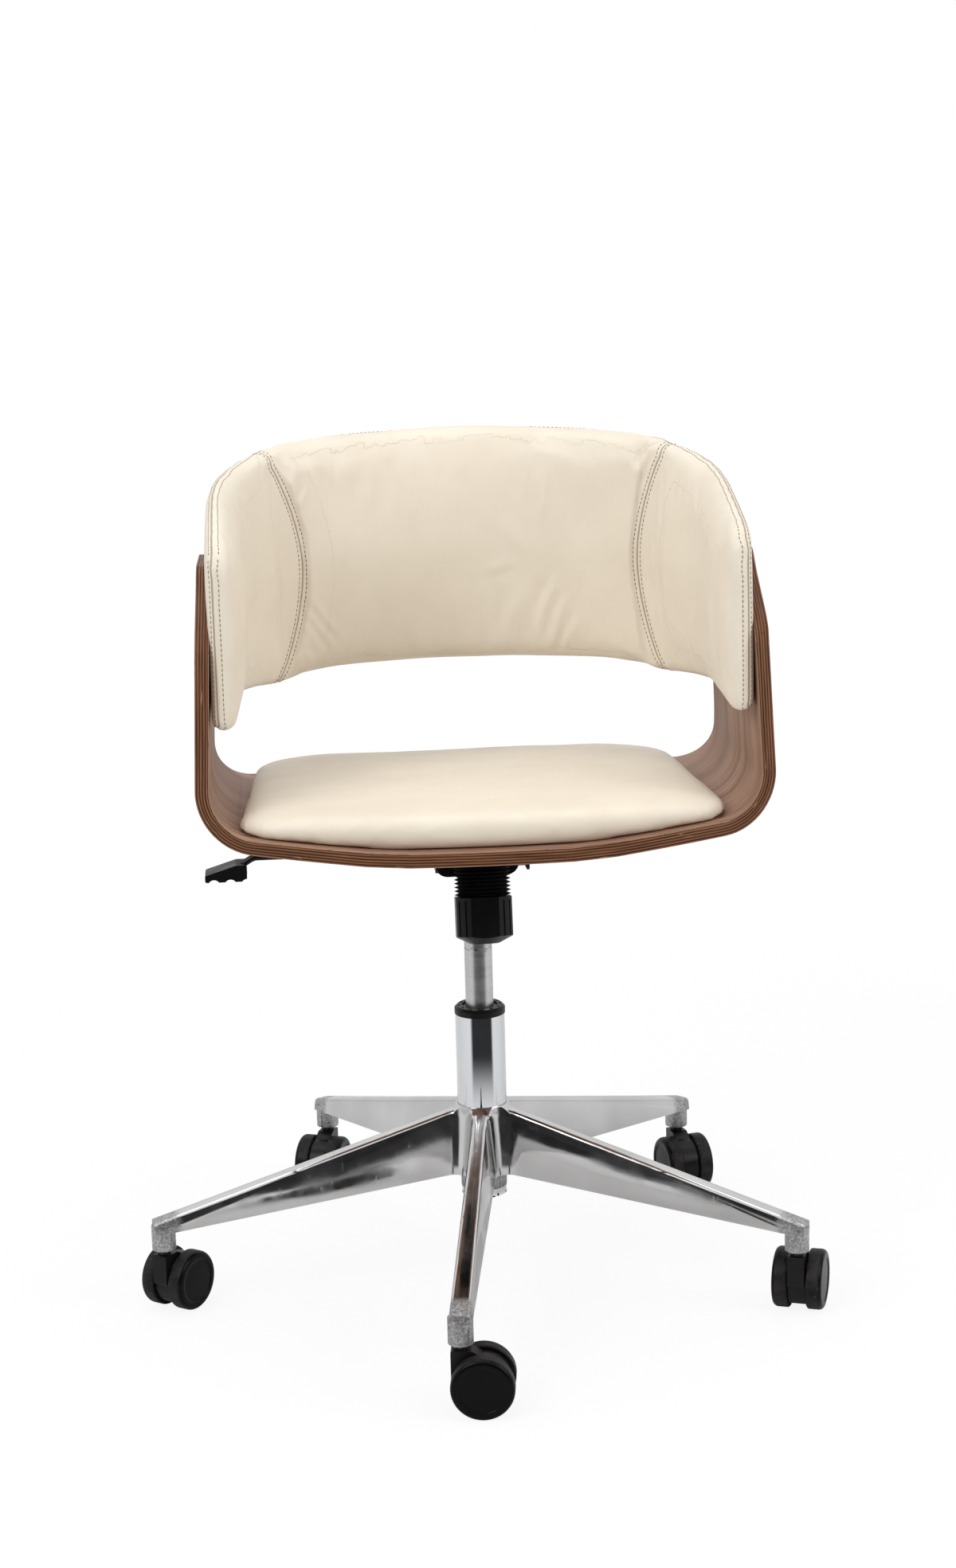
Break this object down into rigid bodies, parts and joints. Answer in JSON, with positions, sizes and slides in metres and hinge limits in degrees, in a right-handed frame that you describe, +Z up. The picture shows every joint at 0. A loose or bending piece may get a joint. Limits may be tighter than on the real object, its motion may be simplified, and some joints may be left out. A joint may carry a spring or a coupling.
{
  "type": "office chair",
  "caption": "Office swivel chair: bent plywood seat shell, cream leather cushion and wrap-around back pad, tilt mechanism, gas lift and a polished star base on casters.",
  "frame": {"origin": "on the floor under the column's axis", "axes": "+Z up; -Y towards the front of the seat; +X to the right as seen from the front"},
  "size_m": [0.6879, 0.6671, 0.8535],
  "materials": {
    "polished_aluminium": "polished, with a brushed grain",
    "bright_chrome": "mirror bright",
    "plain_steel": "satin",
    "black_metal": "satin black",
    "black_plastic": "fine texture, matte",
    "wheel_plastic": "satin black",
    "black_rubber": "matte",
    "walnut_veneer": "satin, open grain, plies showing on the edges",
    "plain_plywood": "raw",
    "cream_leather": "soft, fine grain, low sheen"
  },
  "bodies": {
    "base": {"star_base": "polished_aluminium", "column_tube": "bright_chrome", "guide_bush": "black_plastic", "thrust_bearing": "plain_steel"},
    "spindle": {"piston_rod": "plain_steel", "retaining_clip": "plain_steel"},
    "carrier": {"gas_cylinder": "bright_chrome", "mechanism_body": "black_metal", "tilt_pivot_pin": "plain_steel"},
    "valve": {"valve_button": "plain_steel"},
    "lever": {"lift_lever": "black_metal", "lever_handle": "black_plastic"},
    "seat": {"seat_plate": "black_metal", "seat_shell": "walnut_veneer", "cushion_board": "plain_plywood", "seat_cushion": "cream_leather", "back_pad": "cream_leather", "back_panel": "plain_plywood", "seat_bolts": "plain_steel", "back_bolts": "black_metal"},
    "tensioner": {"tension_bolt": "plain_steel", "tension_spring": "plain_steel", "spring_bellows": "black_rubber"},
    "knob": {"tension_knob": "black_plastic"},
    "caster_front": {"caster_front_stem": "black_metal", "caster_front_housing": "black_plastic", "caster_front_axle": "plain_steel"},
    "wheel_front_left": {"caster_front_wheel_left": "wheel_plastic"},
    "wheel_front_right": {"caster_front_wheel_right": "wheel_plastic"},
    "caster_right": {"caster_right_stem": "black_metal", "caster_right_housing": "black_plastic", "caster_right_axle": "plain_steel"},
    "wheel_right_left": {"caster_right_wheel_left": "wheel_plastic"},
    "wheel_right_right": {"caster_right_wheel_right": "wheel_plastic"},
    "caster_rear_right": {"caster_rear_right_stem": "black_metal", "caster_rear_right_housing": "black_plastic", "caster_rear_right_axle": "plain_steel"},
    "wheel_rear_right_left": {"caster_rear_right_wheel_left": "wheel_plastic"},
    "wheel_rear_right_right": {"caster_rear_right_wheel_right": "wheel_plastic"},
    "caster_rear_left": {"caster_rear_left_stem": "black_metal", "caster_rear_left_housing": "black_plastic", "caster_rear_left_axle": "plain_steel"},
    "wheel_rear_left_left": {"caster_rear_left_wheel_left": "wheel_plastic"},
    "wheel_rear_left_right": {"caster_rear_left_wheel_right": "wheel_plastic"},
    "caster_left": {"caster_left_stem": "black_metal", "caster_left_housing": "black_plastic", "caster_left_axle": "plain_steel"},
    "wheel_left_left": {"caster_left_wheel_left": "wheel_plastic"},
    "wheel_left_right": {"caster_left_wheel_right": "wheel_plastic"}
  },
  "joints": [
    {"name": "seat_swivel", "type": "hinge", "parent": "base", "child": "spindle", "pos_m": [0, 0, 0.0905], "axis": [0, 0, 1], "continuous": true},
    {"name": "height_slide", "type": "slide", "parent": "spindle", "child": "carrier", "axis": [0, 0, 1], "range_m": [-0.1, 0]},
    {"name": "tilt_hinge", "type": "hinge", "parent": "carrier", "child": "seat", "pos_m": [0, -0.027, 0.4555], "axis": [-1, 0, 0], "range_deg": [0, 12], "stiffness_Nm_per_rad": 70, "springref_deg": -6.88},
    {"name": "lever_hinge", "type": "hinge", "parent": "carrier", "child": "lever", "pos_m": [-0.042, 0, 0.4521], "axis": [0, 1, 0], "range_deg": [0, 4], "stiffness_Nm_per_rad": 4, "springref_deg": -3.44},
    {"name": "valve_slide", "type": "slide", "parent": "carrier", "child": "valve", "axis": [0, 0, -1], "range_m": [0, 0.0031]},
    {"name": "tension_slide", "type": "slide", "parent": "carrier", "child": "tensioner", "axis": [0, 0.2079, 0.9781], "range_m": [0, 0.0039], "deforming": ["tension_spring", "spring_bellows"]},
    {"name": "knob_turn", "type": "hinge", "parent": "tensioner", "child": "knob", "pos_m": [0.0025, -0.049, 0.4465], "axis": [0, 0.2079, 0.9781], "range_deg": [-720, 720]},
    {"name": "caster_front_swivel", "type": "hinge", "parent": "base", "child": "caster_front", "pos_m": [-0.04652, -0.32771, 0.0675], "axis": [0, 0, 1], "continuous": true},
    {"name": "wheel_front_left_spin", "type": "hinge", "parent": "caster_front", "child": "wheel_front_left", "pos_m": [-0.02665, -0.32998, 0.03], "axis": [0.1132, 0.9936, 0], "continuous": true},
    {"name": "wheel_front_right_spin", "type": "hinge", "parent": "caster_front", "child": "wheel_front_right", "pos_m": [-0.02665, -0.32998, 0.03], "axis": [0.1132, 0.9936, 0], "continuous": true},
    {"name": "caster_right_swivel", "type": "hinge", "parent": "base", "child": "caster_right", "pos_m": [0.2973, -0.14552, 0.0675], "axis": [0, 0, 1], "continuous": true},
    {"name": "wheel_right_left_spin", "type": "hinge", "parent": "caster_right", "child": "wheel_right_left", "pos_m": [0.30411, -0.12671, 0.03], "axis": [-0.9403, 0.3404, 0], "continuous": true},
    {"name": "wheel_right_right_spin", "type": "hinge", "parent": "caster_right", "child": "wheel_right_right", "pos_m": [0.30411, -0.12671, 0.03], "axis": [-0.9403, 0.3404, 0], "continuous": true},
    {"name": "caster_rear_right_swivel", "type": "hinge", "parent": "base", "child": "caster_rear_right", "pos_m": [0.23026, 0.23778, 0.0675], "axis": [0, 0, 1], "continuous": true},
    {"name": "wheel_rear_right_left_spin", "type": "hinge", "parent": "caster_rear_right", "child": "wheel_rear_right_left", "pos_m": [0.23507, 0.21837, 0.03], "axis": [0.9707, 0.2402, 0], "continuous": true},
    {"name": "wheel_rear_right_right_spin", "type": "hinge", "parent": "caster_rear_right", "child": "wheel_rear_right_right", "pos_m": [0.23507, 0.21837, 0.03], "axis": [0.9707, 0.2402, 0], "continuous": true},
    {"name": "caster_rear_left_swivel", "type": "hinge", "parent": "base", "child": "caster_rear_left", "pos_m": [-0.15499, 0.29247, 0.0675], "axis": [0, 0, 1], "continuous": true},
    {"name": "wheel_rear_left_left_spin", "type": "hinge", "parent": "caster_rear_left", "child": "wheel_rear_left_left", "pos_m": [-0.1616, 0.2736, 0.03], "axis": [0.9438, -0.3305, 0], "continuous": true},
    {"name": "wheel_rear_left_right_spin", "type": "hinge", "parent": "caster_rear_left", "child": "wheel_rear_left_right", "pos_m": [-0.1616, 0.2736, 0.03], "axis": [0.9438, -0.3305, 0], "continuous": true},
    {"name": "caster_left_swivel", "type": "hinge", "parent": "base", "child": "caster_left", "pos_m": [-0.32605, -0.05702, 0.0675], "axis": [0, 0, 1], "continuous": true},
    {"name": "wheel_left_left_spin", "type": "hinge", "parent": "caster_left", "child": "wheel_left_left", "pos_m": [-0.31444, -0.04074, 0.03], "axis": [-0.8141, 0.5807, 0], "continuous": true},
    {"name": "wheel_left_right_spin", "type": "hinge", "parent": "caster_left", "child": "wheel_left_right", "pos_m": [-0.31444, -0.04074, 0.03], "axis": [-0.8141, 0.5807, 0], "continuous": true}
  ],
  "couplings": [
    {"joint": "valve_slide", "follows": "lever_hinge", "m_per_rad": 0.0415},
    {"joint": "tension_slide", "follows": "tilt_hinge", "m_per_rad": 0.018}
  ]
}
